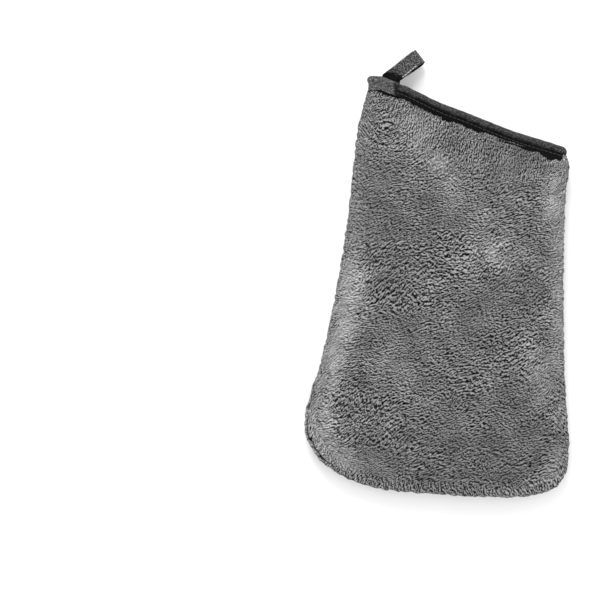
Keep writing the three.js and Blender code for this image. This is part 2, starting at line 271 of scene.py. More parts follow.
def mouth_frames(count):
    """Evenly spaced frames once round the mouth: origins, outward directions and places along it."""
    left, right = TURN_FROM, CUFF_LENGTH - TURN_FROM
    run = np.linspace(left, right, 200)
    turn = np.linspace(0, np.pi, 30)[1:-1]
    front = np.stack([run, mouth_height(run, True)], axis=1)
    back = np.stack([run, mouth_height(run, False)], axis=1)[::-1]
    end = np.stack([right + MOUTH_TURN * np.sin(turn), SEAM_Z + MOUTH_TURN * np.cos(turn)], axis=1)
    start = np.stack([left - MOUTH_TURN * np.sin(turn), SEAM_Z - MOUTH_TURN * np.cos(turn)], axis=1)
    path = np.vstack([front, end, back, start, front[:1]])
    length = np.concatenate([[0], np.cumsum(np.linalg.norm(np.diff(path, axis=0), axis=1))])
    at = np.linspace(0, length[-1], count, endpoint=False)
    place = np.stack([np.interp(at, length, path[:, k]) for k in range(2)], axis=1)
    tangent = unit(np.roll(place, -1, axis=0) - np.roll(place, 1, axis=0))
    origin = cuff_place(place[:, 0], 0.0, place[:, 1])
    out = -tangent[:, 1:] * ALONG_CUFF + tangent[:, :1] * UP
    return origin, out, at


# ---- Meshes ----


def make_piece(name, vertices, faces, material, body=BODY, attributes=()):
    mesh = bpy.data.meshes.new(name)
    vertices = np.asarray(vertices, float) * MM
    mesh.from_pydata(vertices.tolist(), [], [list(map(int, f)) for f in faces])
    for key, values in attributes:
        kind = "FLOAT_VECTOR" if np.ndim(values) == 2 else "FLOAT"
        field = "vector" if kind == "FLOAT_VECTOR" else "value"
        layer = mesh.attributes.new(key, kind, "POINT")
        layer.data.foreach_set(field, np.asarray(values, float).ravel())
    mesh.polygons.foreach_set("use_smooth", [True] * len(mesh.polygons))
    mesh.materials.append(material)
    mesh.update()
    piece = bpy.data.objects.new(name, mesh)
    bpy.context.scene.collection.objects.link(piece)
    if body:
        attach(piece, body)
    return piece


def sweep(origins, us, vs, section, closed):
    """A section, counter-clockwise in (u, v), carried along frames that run along u cross v."""
    section = np.asarray(section, float)
    if section.ndim == 2:
        section = np.broadcast_to(section, (len(origins),) + section.shape)
    n = section.shape[1]
    vertices = origins[:, None] + section[..., :1] * us[:, None] + section[..., 1:] * vs[:, None]
    rows = len(origins)
    faces = []
    for i in range(rows if closed else rows - 1):
        a, b = i * n, ((i + 1) % rows) * n
        faces += [(a + j, a + (j + 1) % n, b + (j + 1) % n, b + j) for j in range(n)]
    if not closed:
        faces.append(tuple(range(n))[::-1])
        faces.append(tuple((rows - 1) * n + j for j in range(n)))
    return vertices.reshape(-1, 3), faces


def circle(radius, u=0.0, v=0.0, sides=8):
    angle = np.linspace(0, 2 * np.pi, sides, endpoint=False)
    return np.stack([u + radius * np.cos(angle), v + radius * np.sin(angle)], axis=1)


def merged(parts):
    """Several (vertices, faces) as one."""
    vertices, faces, start = [], [], 0
    for v, f in parts:
        vertices.append(v)
        faces += [tuple(start + i for i in face) for face in f]
        start += len(v)
    return np.vstack(vertices), faces


# ---- The panels' grid ----
# A panel's grid is a square of rings: each ring follows the outline, and the innermost is one point.


def grid_places(rings):
    """Each grid point's place, its ring's inset, its share of the seam, and whether it faces the cuff."""
    axis = np.arange(-rings, rings + 1)
    i, j = np.meshgrid(axis, axis, indexing="ij")
    k = np.maximum(np.maximum(abs(i), abs(j)), 1)
    left = (i == -k) & (j < k)
    bottom = (j == -k) & ~left
    right = (i == k) & ~bottom
    a, b = CORNERS
    share = np.zeros(i.shape)
    share = np.where(left, lerp(0, a, (k - j) / (2 * k)), share)
    share = np.where((i == -k) & (j == k), 0.0, share)
    share = np.where(bottom, lerp(a, b, (i + k) / (2 * k)), share)
    share = np.where(right, lerp(b, 1, (j + k) / (2 * k)), share)
    cuff = (j == k) & ~right & ~((i == -k) & (j == k))
    along_share = np.where(cuff, (k - i) / (2 * k), 0)

    at = share * (len(SIDES) - 1)
    on_side = np.stack([np.interp(at, np.arange(len(SIDES)), SIDES[:, d]) for d in range(2)], axis=-1)
    along = lerp(along_cuff(SIDES[-1, 0]), along_cuff(SIDES[0, 0]), along_share)
    on_cuff = pile_line(along)
    # The ends of the cuff's line meet the seam's ends.
    drift = lerp(SIDES[-1] - on_cuff_end(1), SIDES[0] - on_cuff_end(0), along_share[..., None])
    on_cuff = on_cuff + drift
    outline = np.where(cuff[..., None], on_cuff, on_side)

    inset = ring_insets(rings)[np.maximum(abs(i), abs(j))]
    ray = outline - CENTRE
    reach = np.linalg.norm(ray, axis=-1)
    rim_inset = ring_insets(rings)[rings - rim_rings(rings)]
    solid = np.maximum(abs(i), abs(j)) >= rings - rim_rings(rings)
    rim_place = CENTRE + ray * (1 - inset / reach)[..., None]
    edge_scale = (1 - rim_inset / reach) * (np.maximum(abs(i), abs(j)) / (rings - rim_rings(rings)))
    inner_place = CENTRE + ray * edge_scale[..., None]
    return np.where(solid[..., None], rim_place, inner_place), inset, share, cuff


def on_cuff_end(end):
    along = along_cuff(SIDES[-1, 0]) if end else along_cuff(SIDES[0, 0])
    return pile_line(np.array(along))


def rim_rings(rings):
    return round(RIM_RINGS * rings / FINE_RINGS)


def ring_insets(rings):
    """Each ring's inset from the outline, evenly spaced over the rounded edge. Only outer rings use it."""
    arc = RIM_ARC * (rings - np.arange(rings + 1)) / rim_rings(rings)
    quarter = EDGE_RADIUS * np.pi / 2
    rounded = EDGE_RADIUS * (1 - np.cos(arc / EDGE_RADIUS))
    return np.where(arc < quarter, rounded, arc - quarter + EDGE_RADIUS)


def grid_faces(rings, offset=0, flip=False):
    n = 2 * rings + 1
    i, j = np.meshgrid(np.arange(n - 1), np.arange(n - 1), indexing="ij")
    a = (i * n + j).ravel() + offset
    quads = np.stack([a, a + n, a + n + 1, a + 1], axis=1)
    return quads[:, ::-1] if flip else quads


def border(rings, offset=0):
    """The grid's outermost points, counter-clockwise from above, from the start of the left side."""
    n = 2 * rings + 1
    last = n - 1
    left = [0 * n + j for j in range(last, 0, -1)]
    bottom = [i * n + 0 for i in range(last)]
    right = [last * n + j for j in range(last)]
    top = [i * n + last for i in range(last, 0, -1)]
    return np.array(left + bottom + right + top) + offset


def stitched(outer, inner, flip):
    """Triangles between two closed rows, where the outer has a whole number of points to each inner one."""
    ratio = len(outer) // len(inner)
    faces = []
    for i in range(len(inner)):
        a, b = inner[i], inner[(i + 1) % len(inner)]
        half = ratio // 2
        for s in range(ratio):
            p, q = outer[i * ratio + s], outer[(i * ratio + s + 1) % len(outer)]
            faces.append((p, q, a if s < half else b))
        faces.append((a, outer[(i * ratio + half) % len(outer)], b))
    return [f[::-1] for f in faces] if flip else faces


# ---- The panels' shape ----

# The mitt's soft swells and hollows: x, y, half-width, half-length, turn in degrees, and height.
SWELLS = [
    (-12, 52, 16, 34, 35, 1.6),
    (38, 24, 15, 30, 48, 1.5),
    (-32, 18, 9, 42, -6, -2.4),
    (-60, -62, 13, 34, -14, 1.6),
    (-46, -92, 12, 14, 10, -1.6),
    (66, 40, 10, 34, 2, 1.2),
    (55, -72, 10, 24, 4, 1.8),
    (40, -78, 10, 26, 6, -1.4),
    (-8, -112, 34, 9, -8, -1.5),
    (18, -40, 16, 34, 40, 1.2),
    (-10, -60, 14, 26, 20, -1.0),
]


# Painted highlights and painted shade, laid out as patches of brushed-up or pressed-down pile: the same six
# numbers.
PAINTED_LIGHT_PATCHES = [
    (-14, 90, 10, 20, 34, 0.5),
    (6, 62, 8, 18, 28, 0.45),
    (28, 36, 9, 16, 50, 0.45),
    (36, 12, 18, 11, 10, 0.65),
    (66, -64, 9, 21, 5, 0.65),
    (-58, -18, 9, 32, -12, 0.85),
    (-68, -62, 8, 24, -18, 0.65),
    (-30, -64, 13, 17, 20, 0.35),
    (-76, -106, 16, 26, 18, 0.6),
    (-50, -126, 26, 11, -16, 0.45),
    (77, 52, 11, 26, 0, 0.6),
    (82, -20, 7, 44, 0, 0.4),
    (80, -128, 9, 14, 0, 0.4),
    (-31, 12, 9, 34, -6, -0.3),
    (62, 76, 14, 6, -18, -0.35),
    (-8, -138, 40, 8, -3, -0.25),
    (-48, -68, 5, 11, 12, -0.4),
    (48, -96, 20, 12, 10, -0.15),
]


def hills(xy, shapes):
    """The sum of soft hills at each point: each has a middle, half-width, half-length, turn and height."""
    total = np.zeros(xy.shape[:-1])
    for x, y, wide, long, turn, height in shapes:
        c, s = math.cos(math.radians(turn)), math.sin(math.radians(turn))
        dx, dy = xy[..., 0] - x, xy[..., 1] - y
        u, v = (dx * c + dy * s) / wide, (dy * c - dx * s) / long
        total += height * np.exp(-(u * u + v * v))
    return total


def front_height(xy):
    """How far the front's pile stands above the seam, before the pile's own lumps."""
    side, cuff, below = from_seam(xy), from_cuff(xy), below_binding(xy)
    rise = lerp(CUFF_RISE, PALM_RISE, smooth(cuff / PALM_FROM_CUFF)) - EDGE_RADIUS
    pile_edge = 4.4 * (1 - round_up(below / PILE_EDGE_RADIUS))
    full = EDGE_RADIUS * round_up(side / EDGE_RADIUS) + rise * swell((side - 2) / SIDE_SLOPE)
    soft = hills(xy, SWELLS) * smooth((side - 4) / 20) * smooth(below / 12)
    return 1.0 + np.maximum(0, full - pile_edge * smooth(side / EDGE_RADIUS)) + soft - 1.2


def front_lining(xy):
    side, cuff = from_seam(xy), from_cuff(xy)
    rise = lerp(CUFF_RISE, PALM_RISE, smooth(cuff / PALM_FROM_CUFF)) - EDGE_RADIUS
    full = EDGE_RADIUS * round_up(side / EDGE_RADIUS) + rise * swell((side - 2) / SIDE_SLOPE)
    return np.maximum(0.15, full + 0.95 - PANEL)


def back_depth(xy):
    """How far the back's pile reaches below the seam. It is pressed flat by the table."""
    side = from_seam(xy)
    lift = 1.2 * (1 - round_up(below_binding(xy) / EDGE_RADIUS))
    return lerp(1.0, SEAM_Z - 0.5 - lift, round_up(side / SEAM_Z))


def back_lining(xy):
    return np.maximum(0.15, back_depth(xy) + 0.5 - PANEL)


def surface_normals(points):
    """Upward normals of a grid of points."""
    du = np.gradient(points, axis=0)
    dv = np.gradient(points, axis=1)
    return unit(np.cross(du, dv))


# ---- The pile's lumps ----


def pile_coordinates(xy, seed):
    """Where each point lies along and across the pile's lie, which wanders over the panel."""
    x, y = xy[..., 0], xy[..., 1]
    wander_x = 7 * noise(x / 46, y / 46, seed) + 1.4 * noise(x / 12, y / 12, seed + 1)
    wander_y = 7 * noise(x / 46 + 9, y / 46, seed + 2) + 1.4 * noise(x / 12, y / 12 + 7, seed + 3)
    c, s = math.cos(PILE_ANGLE), math.sin(PILE_ANGLE)
    return (x + wander_x) * c + (y + wander_y) * s, (y + wander_y) * c - (x + wander_x) * s


def partings(p, q, seed):
    """How deep each point lies in a parting, from 0 to 1. Partings are thin broken lines along p."""
    wave = 0.9 * np.sin(p / 3.1 + 3 * noise(p / 11, q / 9, seed + 4))
    bent = q + wave + 0.7 * noise(p / 3.5, q / 3.5, seed + 5)
    line = noise(p / 6.5, bent / 3.3, seed) + 0.3 * noise(p / 3.1, bent / 1.9, seed + 1)
    kept = smooth((noise(p / 4.4, q / 2.8, seed + 2) + 0.12) / 0.3)
    return (1 - smooth(np.abs(line) / 0.2)) * kept


def combed(xy, side, share, on_cuff, seed):
    """Coordinates along and across the pile where an edge combs it straight, and how much it does so."""
    along, below = along_cuff(xy[..., 0]), below_binding(xy)
    round_rim = EDGE_RADIUS * np.arccos(1 - np.clip(side / EDGE_RADIUS, 0, 1))
    arc = np.where(side < EDGE_RADIUS, round_rim, side + 5)
    run = np.interp(share * (len(SIDES) - 1), np.arange(len(SIDES)), SIDE_RUN)
    beyond_end = np.where(along < CUFF_LENGTH / 2, -along, SIDE_RUN[-1] + CUFF_LENGTH - along)
    around = np.where(on_cuff, beyond_end, run)
    near_cuff = smooth((side - below) / 16 + 0.5)
    p = np.where(near_cuff > 0.5, CUFF_DENSITY * below, lock_density(xy[..., 1]) * arc)
    q = np.where(near_cuff > 0.5, CUFF_DENSITY * (along + 0.16 * below), around)
    p = p + 1.5 * noise(q / 14, p / 9, seed + 31)
    q = q + 2.0 * noise(q / 22, p / 12, seed + 32)
    reach = np.where(near_cuff > 0.5, smooth(1 - (below - 10) / 40), smooth(1 - (side - 2) / 12))
    return p, q, 0.9 * reach * np.abs(2 * near_cuff - 1)


def pile_relief(p, q, comb_p, comb_q, comb, seed):
    """The pile's height at each point, and how deep the point lies in a parting."""
    parting = lerp(partings(p, q, seed), 0.7 * partings(comb_p, comb_q, seed + 20), comb)
    locks = noise(p / 3.4, q / 2.0, seed + 41)
    clumps = noise(p / 9, q / 7, seed + 40)
    return 0.2 * locks + 0.35 * clumps - 0.75 * parting, parting


def rolled(points, side, roll):
    """The rim slid round its own curve, most at the seam. A large roll shows the seam from above."""
    radius = EDGE_RADIUS + 0.5
    turned_in = np.arccos(1 - np.clip(side / radius, 0, 1)) / (np.pi / 2)
    angle = roll * (1 - turned_in)
    inward = unit(np.concatenate([CENTRE - points[..., :2], np.zeros(side.shape + (1,))], axis=-1))
    x, z = side - radius, points[..., 2] - SEAM_Z
    c, s = np.cos(angle), np.sin(angle)
    moved = points + inward * (x * c + z * s - x)[..., None]
    moved[..., 2] = SEAM_Z - x * s + z * c
    return moved


def ragged_edge(xy, seed):
    """How far the pile's edge stands up over the binding, in uneven locks."""
    below = np.maximum(below_binding(xy), 0)
    locks = noise(xy[..., 0] / 1.9, below / 6, seed + 60)
    locks += 0.8 * noise(xy[..., 0] / 5.5, below / 9, seed + 61)
    return 0.6 * locks * np.exp(-below / 3.5)


def rolled_corner(points, xy, side, share):
    """The panel with its rim rolled under the finger end's left corner, a little unevenly."""
    near = np.exp(-(((xy[..., 0] + 84) / 30) ** 2) - ((xy[..., 1] + 108) / 34) ** 2)
    uneven = 1 + 0.25 * noise(share * SIDE_LENGTH / 5, side * 0, 33)
    return rolled(points, side, SEAM_ROLL * smooth(near * 1.6) * uneven)


def painted_light_tone(xy, p, q, side, seed):
    """The pile's painted highlights (above 0) and painted shade (below 0) at each point: patches streaked
    along the pile, painted sheen along the seam's rim, and random tone.
    """
    streaks = 1 + 0.7 * noise(p / 9, q / 3.2, seed + 50)
    streaks += 0.4 * noise(xy[..., 0] / 6, xy[..., 1] / 6, seed + 51)
    tone = hills(xy, PAINTED_LIGHT_PATCHES) * streaks + 0.28 * smooth(1 - side / 20)
    return tone + 0.34 * noise(xy[..., 0] / 13, xy[..., 1] / 13, seed + 52)


def panel_piece(name, node, material, seed, outer, lining, up, cloth):
    """One plush panel as a closed solid: a fine outer side with its pile, and a plain knit lining."""
    xy, inset, share, cuff = grid_places(FINE_RINGS)
    height = outer(xy)
    points = np.concatenate([xy, (SEAM_Z + up * height)[..., None]], axis=-1)
    points += cloth(FINE_RINGS)
    points[..., 1] += ragged_edge(xy, seed)
    normals = surface_normals(points) * up

    side = from_seam(xy)
    p, q = pile_coordinates(xy, seed)
    comb_p, comb_q, comb = combed(xy, side, share, cuff, seed)
    relief, parting = pile_relief(p, q, comb_p, comb_q, comb, seed + 40)
    edge_locks = noise(comb_p / 8, comb_q / 3.6, seed + 70)
    edge_locks += 0.5 * noise(comb_p / 14, comb_q / 9, seed + 71)
    relief = relief + 1.1 * smooth(1 - side / 13) * edge_locks
    pressed = smooth((SEAM_Z - points[..., 2]) / SEAM_Z * 1.15) if up < 0 else 0
    strength = lerp(1.0, 0.25, pressed) * smooth(inset / 1.2 + 0.6)
    points = points + normals * (relief * strength * RELIEF)[..., None]
    limit = np.maximum if up > 0 else np.minimum
    points[..., 2] = limit(points[..., 2], SEAM_Z + 0.15 * up)
    points = rolled_corner(points, xy, side, share)
    points[..., 2] = np.maximum(points[..., 2], TABLE_GAP)
    painted_light_and_tone = painted_light_tone(xy, p, q, side, seed)

    xy_in, *_ = grid_places(COARSE_RINGS)
    xy_in = CENTRE + (xy_in - CENTRE) * LINING_SCALE
    inner = np.concatenate([xy_in, (SEAM_Z + up * lining(xy_in))[..., None]], axis=-1)
    inner += cloth(COARSE_RINGS)

    count = points.shape[0] ** 2
    faces = grid_faces(FINE_RINGS, 0, up < 0).tolist() + grid_faces(COARSE_RINGS, count, up > 0).tolist()
    faces += stitched(border(FINE_RINGS), border(COARSE_RINGS, count), up > 0)
    vertices = np.vstack([points.reshape(-1, 3), inner.reshape(-1, 3)])

    def with_lining(values, fill):
        extra = np.full((inner.shape[0] ** 2,) + values.shape[2:], fill)
        return np.concatenate([values.reshape((-1,) + values.shape[2:]), extra])

    zero = np.zeros_like(p)
    lining_pile = np.concatenate([xy_in, np.zeros(xy_in.shape[:-1] + (1,))], axis=-1).reshape(-1, 3)
    pile = np.vstack([np.stack([p, q, zero + seed], axis=-1).reshape(-1, 3), lining_pile])
    rim = np.vstack([np.stack([comb_p, comb_q, zero + seed], axis=-1).reshape(-1, 3), lining_pile])
    attributes = [
        ("pile", pile),
        ("rim", rim),
        ("comb", with_lining(comb, 0.0)),
        ("parting", with_lining(parting, 0.0)),
        ("painted_light_and_tone", with_lining(painted_light_and_tone, 0.0)),
        ("lining", with_lining(zero, 1.0)),
    ]
    piece = make_piece(name, vertices, faces, material, attributes=attributes)
    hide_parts(node)
    return piece


# ---- Materials ----


class Nodes:
    """A material's node tree, built by short calls."""

    def __init__(self, name):
        self.material = bpy.data.materials.new(name)
        self.material.use_nodes = True
        self.tree = self.material.node_tree
        self.shader = self.tree.nodes["Principled BSDF"]

    def add(self, kind, inputs=(), **settings):
        node = self.tree.nodes.new(kind)
        for key, value in settings.items():
            setattr(node, key, value)
        for key, value in dict(inputs).items():
            self.feed(node.inputs[key], value)
        return node

    def feed(self, socket, value):
        if isinstance(value, bpy.types.NodeSocket):
            self.tree.links.new(value, socket)
        else:
            socket.default_value = value

    def math(self, operation, *values, clamp=False):
        node = self.add("ShaderNodeMath", operation=operation, use_clamp=clamp)
        for socket, value in zip(node.inputs, values):
            self.feed(socket, value)
        return node.outputs[0]

    def attribute(self, name, vector=False):
        node = self.add("ShaderNodeAttribute", attribute_name=name)
        return node.outputs["Vector" if vector else "Fac"]

    def mix(self, factor, a, b):
        return self.add("ShaderNodeMix", {0: factor, 2: a, 3: b}, data_type="FLOAT").outputs[0]

    def mix_colour(self, factor, a, b, blend="MIX"):
        node = self.add("ShaderNodeMix", data_type="RGBA", blend_type=blend)
        self.feed(node.inputs[0], factor)
        self.feed(node.inputs[6], a)
        self.feed(node.inputs[7], b)
        return node.outputs[2]

    def stretched(self, vector, scale):
        return self.add("ShaderNodeVectorMath", {0: vector, 1: scale}, operation="MULTIPLY").outputs[0]

    def noise(self, vector, scale=1.0, detail=2.0, roughness=0.5, distortion=0.0):
        inputs = {"Vector": vector, "Scale": scale, "Detail": detail}
        inputs.update({"Roughness": roughness, "Distortion": distortion})
        return self.add("ShaderNodeTexNoise", inputs).outputs["Fac"]

    def ramp(self, value, low, high, smooth_step=True):
        node = self.add("ShaderNodeMapRange", {"Value": value, "From Min": low, "From Max": high})
        node.interpolation_type = "SMOOTHSTEP" if smooth_step else "LINEAR"
        return node.outputs[0]

    def bump(self, height, strength, distance):
        inputs = {"Height": height, "Strength": strength, "Distance": distance}
        self.feed(self.shader.inputs["Normal"], self.add("ShaderNodeBump", inputs).outputs[0])

    def set(self, **values):
        for key, value in values.items():
            self.feed(self.shader.inputs[key.replace("_", " ")], value)


def grey(value):
    return (value, value, value, 1)


def lock_layer(n, vector):
    """The finest locks in one pile direction, as painted shade (0) to painted highlight (1): the pile's
    noise at a lock's root less its noise a little way on at its tip, with fine fibre flecks.
    """
    along = n.stretched(vector, (0.42, 0.86, 1))
    behind = n.add("ShaderNodeVectorMath", {0: along, 1: (0.2, 0.42, 0)}, operation="ADD").outputs[0]
    root = n.noise(along, 1.0, 1.4, 0.6, 0.7)
    tip = n.noise(behind, 1.0, 1.4, 0.6, 0.7)
    fibres = n.noise(n.stretched(vector, (0.8, 1.6, 1)), 1.0, 0.0)
    relief_shading = n.ramp(n.math("SUBTRACT", root, tip), -0.08, 0.08, False)
    return n.math("MULTIPLY_ADD", n.math("SUBTRACT", fibres, 0.5), 2.2, relief_shading)


def plush_material():
    n = Nodes("plush_pile")
    main = lock_layer(n, n.attribute("pile", True))
    rim = lock_layer(n, n.attribute("rim", True))
    painted_light_and_tone = n.attribute("painted_light_and_tone")
    relief_shading = n.mix(n.attribute("comb"), main, rim)
    # Where the painted highlights lie, the relief shading is flattened towards pale and the partings are
    # less dark.
    calm = n.ramp(painted_light_and_tone, 0.0, 0.8, False)
    relief_shading = n.mix(n.math("MULTIPLY", calm, 0.6), relief_shading, 0.66)
    parting = n.ramp(n.math("SUBTRACT", n.attribute("parting"), n.math("MULTIPLY", relief_shading, 0.8)), -0.1, 0.5)

    place = n.add("ShaderNodeTexCoord").outputs["Object"]
    # Painted shade and painted highlight: the pile's tone follows the locks' relief shading, from near
    # black to pale grey.
    tone = n.mix_colour(n.ramp(relief_shading, 0.22, 0.46, False), grey(0.001), grey(0.085))
    tone = n.mix_colour(n.ramp(relief_shading, 0.46, 0.95, False), tone, grey(0.31))
    # Painted shade: the partings between the locks are near black.
    tone = n.mix_colour(n.math("MULTIPLY", parting, n.math("SUBTRACT", 0.95, calm)), tone, grey(0.002))
    # Painted highlights and painted shade, with random tone, scale the pile's colour.
    shade = n.math("MULTIPLY_ADD", painted_light_and_tone, 0.62, 0.95)
    scaled = n.add("ShaderNodeVectorMath", {0: tone, 3: shade}, operation="SCALE").outputs[0]
    knit = n.mix_colour(n.noise(place, 900.0, 2.0), grey(0.07), grey(0.13))
    tone = n.mix_colour(n.attribute("lining"), scaled, knit)
    n.bump(relief_shading, 0.8, 0.0008)
    n.set(Base_Color=tone, Roughness=0.9, Specular_IOR_Level=0.1, Sheen_Weight=0.04, Sheen_Roughness=0.4)
    return n.material


def woven_material(name, low, high, thread, flecks):
    """A woven tape: crossing threads, uneven tone and light flecks, with painted shade where its low
    attribute is high.
    """
    n = Nodes(name)
    weave = n.attribute("weave", True)

    def threads(scale, direction):
        inputs = {"Vector": weave, "Scale": scale}
        return n.add("ShaderNodeTexWave", inputs, bands_direction=direction).outputs["Fac"]

    cloth = n.math("MULTIPLY", threads(thread, "X"), threads(thread * 0.8, "Y"))
    uneven = n.ramp(n.noise(weave, 0.28, 2.0, 0.6), 0.35, 0.65)
    speckle = n.ramp(n.noise(weave, 0.95, 1.0, 0.8), 0.44, 0.66)
    tone = n.mix_colour(cloth, grey(low), grey(high))
    tone = n.mix_colour(n.math("MULTIPLY", uneven, 0.6), tone, grey(low * 0.5))
    tone = n.mix_colour(n.math("MULTIPLY", speckle, flecks), tone, grey(high * 2.4))
    shadow = n.math("MULTIPLY_ADD", n.math("SUBTRACT", uneven, 0.5), 0.12, n.attribute("low"))
    tone = n.mix_colour(n.ramp(shadow, 0.28, 0.62), tone, grey(low * 0.12))
    n.bump(n.math("ADD", cloth, n.math("MULTIPLY", speckle, 0.5)), 0.6, 0.0003)
    n.set(Base_Color=tone, Roughness=0.9, Specular_IOR_Level=0.12, Sheen_Weight=0.04, Sheen_Roughness=0.4)
    return n.material


def thread_material(name, low, high):
    n = Nodes(name)
    place = n.add("ShaderNodeTexCoord").outputs["Object"]
    twist = n.noise(place, 2600.0, 2.0, 0.6)
    n.bump(twist, 0.5, 0.0001)
    n.set(Base_Color=n.mix_colour(twist, grey(low), grey(high)), Roughness=0.6)
    return n.material


def floor_material():
    n = Nodes("pale_floor")
    place = n.add("ShaderNodeTexCoord").outputs["Object"]
    n.set(Base_Color=n.mix_colour(n.noise(place, 3.0), grey(0.86), grey(0.9)), Roughness=0.9)
    return n.material


# ---- The cloth's own puckers ----

PUFF_PRESSURE = 3.0
PUFF_SLACK = 0.035
PUFF_LIMIT = 4.5
PUFF_FRAMES = 20


def cloth_settings(sheet):
    """Cloth that is a little too large for its sewn edge and is puffed out from inside."""
    modifier = sheet.modifiers.new("cloth", "CLOTH")
    settings = modifier.settings
    settings.quality = 6
    settings.mass = 0.15
    settings.tension_stiffness = 12
    settings.compression_stiffness = 12
    settings.shear_stiffness = 6
    settings.bending_stiffness = 0.4
    settings.vertex_group_mass = "sewn"
    settings.shrink_min = -PUFF_SLACK
    settings.use_pressure = True
    settings.uniform_pressure_force = PUFF_PRESSURE
    settings.effector_weights.gravity = 0
    modifier.collision_settings.use_collision = False


def relaxed(points):
    """A grid of points as a sheet sewn down along its edge, after the cloth has settled."""
    side = points.shape[0]
    rings = side // 2
    mesh = bpy.data.meshes.new("relaxing")
    mesh.from_pydata((points.reshape(-1, 3) * MM).tolist(), [], grid_faces(rings).tolist())
    sheet = bpy.data.objects.new("relaxing", mesh)
    bpy.context.scene.collection.objects.link(sheet)
    sewn = sheet.vertex_groups.new(name="sewn")
    sewn.add(border(rings).tolist(), 1.0, "REPLACE")
    cloth_settings(sheet)
    for frame_number in range(1, PUFF_FRAMES + 1):
        bpy.context.scene.frame_set(frame_number)
    settled = sheet.evaluated_get(bpy.context.evaluated_depsgraph_get()).data
    places = np.zeros(side * side * 3)
    settled.vertices.foreach_get("co", places)
    bpy.data.objects.remove(sheet)
    bpy.context.scene.frame_set(1)
    return places.reshape(side, side, 3) / MM


def puckers():
    """How far the front cloth settles from its plain shape, as a function for a grid of any size."""
    xy, *_ = grid_places(COARSE_RINGS)
    moved = np.zeros(xy.shape[:-1] + (3,))
    plain = np.concatenate([xy, (SEAM_Z + front_height(xy))[..., None]], axis=-1)
    moved = relaxed(plain) - plain
    length = np.linalg.norm(moved, axis=-1, keepdims=True)
    moved *= np.minimum(1, PUFF_LIMIT / np.maximum(length, 1e-6))
    moved[..., :2] *= smooth((from_seam(xy) - 4) / 24)[..., None]

    def read(rings):
        at = np.linspace(0, 2 * COARSE_RINGS, 2 * rings + 1)
        low = np.minimum(at.astype(int), 2 * COARSE_RINGS - 1)
        share = (at - low)[:, None, None]
        rows = lerp(moved[low], moved[low + 1], share)
        return lerp(rows[:, low], rows[:, low + 1], share.transpose(1, 0, 2))

    return read


def flat_on_table(rings):
    return np.zeros((2 * rings + 1, 2 * rings + 1, 3))


# ---- Build ----

PLUSH = plush_material()
front = panel_piece(
    "front_pile", "front_panel", PLUSH, FRONT_SEED, front_height, front_lining, 1, puckers(),
)
back = panel_piece(
    "back_pile", "back_panel", PLUSH, BACK_SEED, back_depth, back_lining, -1, flat_on_table,
)


# ---- The binding ----

BINDING_BULGE = 3.1
TAPE_DROP = 13.0
# How far down the binding its painted shade goes from grey to black.
SHADE_DROP = 9.0
BINDING_STITCH_DROP = 6.6
STITCH_LENGTH = 2.3
STITCH_GAP = 0.7
STITCH_RADIUS = 0.26
# The tape's end is lapped over its start from before the left corner to after it.
LAP_BEFORE = 7.5
LAP_AFTER = 15.5
LAP_LIFT = 0.75


def tape_height(v, lift=0.0):
    """How far the binding's outer side stands from the middle of the fabric, down from its fold."""
    points = [(0.0, 1.5), (1.0, 2.75), (2.6, BINDING_BULGE), (6.4, 1.95), (7.4, 2.15), (9.6, 2.2)]
    return through(points, v) + lift


def binding_section(drop, lift, thick):
    """The folded tape's section: down its outer side, up its inner side, and the same on the far side."""
    down = np.array([0.0, 0.35, 0.9, 1.7, 2.6, 3.6, 4.6, 5.6, 6.4, 7.2, drop - 0.3, drop])
    outer = np.stack([tape_height(down, lift), down], axis=1)
    back_up = np.array([drop, drop - 0.5, 6.4, 4.6, 2.6, 1.4])
    inner = np.stack([np.minimum(tape_height(back_up, lift) - thick, 2.0), back_up], axis=1)
    near = np.vstack([outer, inner])
    far = near[::-1] * (-1, 1)
    return np.vstack([near, far])


def tape_attributes(rows, section):
    """The tape's own coordinates: along it, and round its section."""
    ring = np.concatenate([[0], np.cumsum(np.linalg.norm(np.diff(section, axis=0), axis=1))])
    along, around = np.meshgrid(rows, ring, indexing="ij")
    return np.stack([along, around, np.zeros_like(along)], axis=-1).reshape(-1, 3)


def rounded_end(vertices):
    """The binding's left end, with its top corner rounded down."""
    along = (vertices - np.append(CUFF_LEFT, 0)) @ ALONG_CUFF
    t = np.clip((3.4 - along) / 5.0, 0, 1)
    return vertices + (3.0 * (1 - np.sqrt(1 - t * t)))[:, None] * DOWN_MITT


def cuff_tape():
    """The binding tape, folded over the raw edge all the way round the mouth."""
    origins, outs, at = mouth_frames(330)
    section = binding_section(TAPE_DROP, 0.0, 0.8)
    rows = np.repeat(section[None], len(at), axis=0)
    wave = noise(at / 9, at * 0, 61) * 0.22 + noise(at / 3.1, at * 0, 62) * 0.08
    depth = rows[..., 1] / TAPE_DROP
    rows[..., 0] += np.sign(rows[..., 0]) * (wave[:, None] * np.sin(np.pi * np.clip(depth, 0, 1)))
    rows[..., 1] += 0.25 * noise(at / 6, at * 0, 63)[:, None]
    vertices, faces = sweep(origins, outs, np.broadcast_to(DOWN_MITT, origins.shape), rows, True)
    vertices = rounded_end(vertices)
    # Painted shade: the tape darkens from its fold downwards, where it lies in the pile's shade.
    low = np.broadcast_to(np.clip(section[:, 1] / SHADE_DROP, 0, 1), (len(at), len(section))).ravel()
    piece = make_piece(
        "cuff_tape", vertices, faces, BINDING,
        attributes=[("weave", tape_attributes(at, section)), ("low", low)],
    )
    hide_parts("cuff_binding")
    return piece


